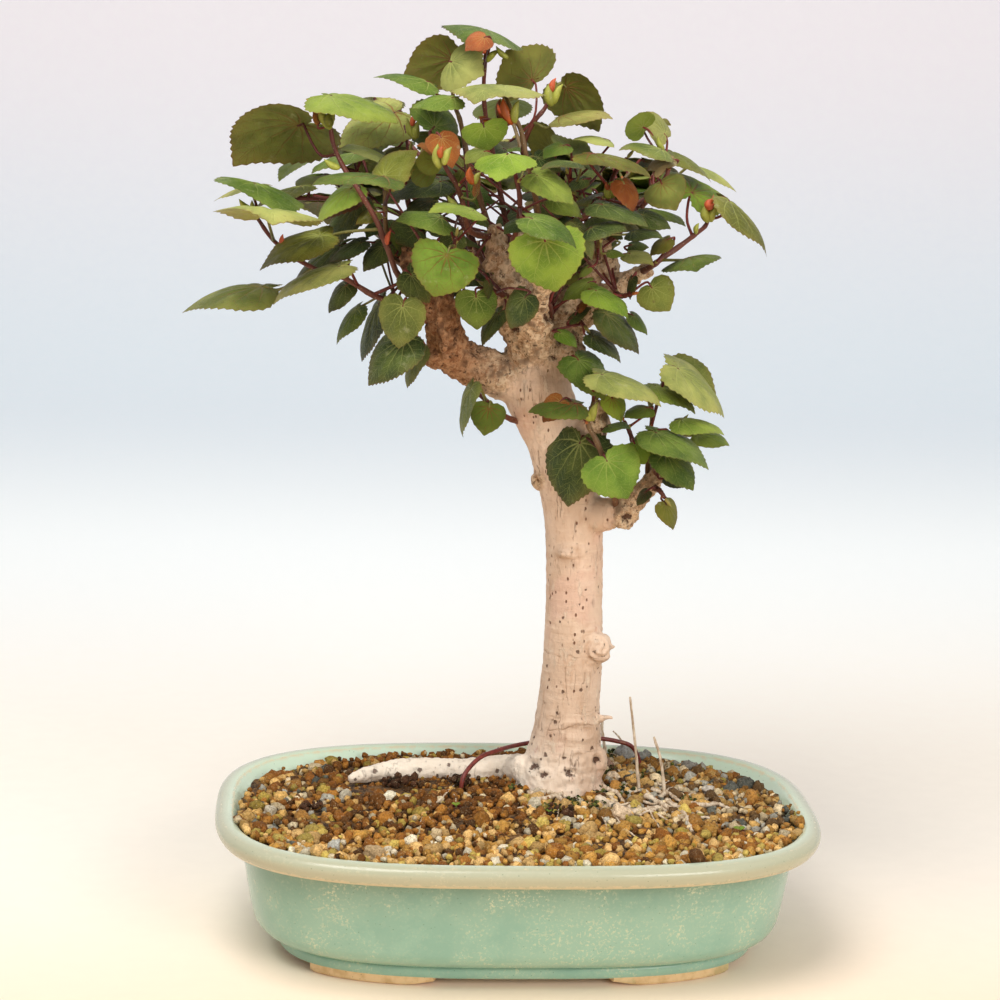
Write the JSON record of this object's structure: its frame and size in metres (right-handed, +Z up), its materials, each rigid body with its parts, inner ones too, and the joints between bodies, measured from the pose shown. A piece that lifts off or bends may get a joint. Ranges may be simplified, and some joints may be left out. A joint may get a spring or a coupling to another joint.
{
  "type": "sea hibiscus bonsai",
  "caption": "Broad-leaved bonsai with a pale upright trunk and a rounded crown of heart-shaped leaves, planted in an oval glazed pot on feet.",
  "frame": {"origin": "middle of the part's footprint box at the underside of the pot's feet", "axes": "+Z up, +X to the right of the pot's long side as seen from the front, +Y to the back"},
  "size_m": [0.2766, 0.2234, 0.3891],
  "materials": {
    "pot_glaze": "glossy",
    "screen_plastic": "matt",
    "soil_granules": "matt",
    "bark": "rough",
    "dead_wood": "rough",
    "wire_coating": "satin",
    "foliage": "satin"
  },
  "bodies": {
    "root": {"pot": "pot_glaze", "drain_screen_left": "screen_plastic", "drain_screen_right": "screen_plastic", "soil": "soil_granules", "tree_wood": "bark", "surface_root_right": "dead_wood", "anchor_wire": "wire_coating", "dead_twig_tall": "dead_wood", "dead_twig_short": "dead_wood", "shoot_left_low": "foliage", "shoot_left_high": "foliage", "shoot_left_inner": "foliage", "shoot_left_mid": "foliage", "shoot_left_under": "foliage", "shoot_front_left": "foliage", "shoot_centre": "foliage", "shoot_top_left": "foliage", "shoot_top": "foliage", "shoot_top_right": "foliage", "shoot_top_far": "foliage", "shoot_front": "foliage", "shoot_front_low": "foliage", "shoot_front_low_right": "foliage", "shoot_mid_right": "foliage", "shoot_right_a": "foliage", "shoot_right_b": "foliage", "shoot_right_low": "foliage", "shoot_right_inner": "foliage", "shoot_right_under": "foliage", "shoot_right_under_in": "foliage", "shoot_upper_right": "foliage", "shoot_tier_left": "foliage", "shoot_tier_mid": "foliage", "shoot_tier_right": "foliage", "shoot_tier_low": "foliage", "shoot_tier_under": "foliage", "shoot_trunk": "foliage", "shoot_back_1": "foliage", "shoot_back_2": "foliage", "shoot_back_3": "foliage", "shoot_back_4": "foliage", "shoot_back_5": "foliage", "shoot_back_6": "foliage", "shoot_back_7": "foliage", "shoot_back_8": "foliage"}
  },
  "joints": []
}
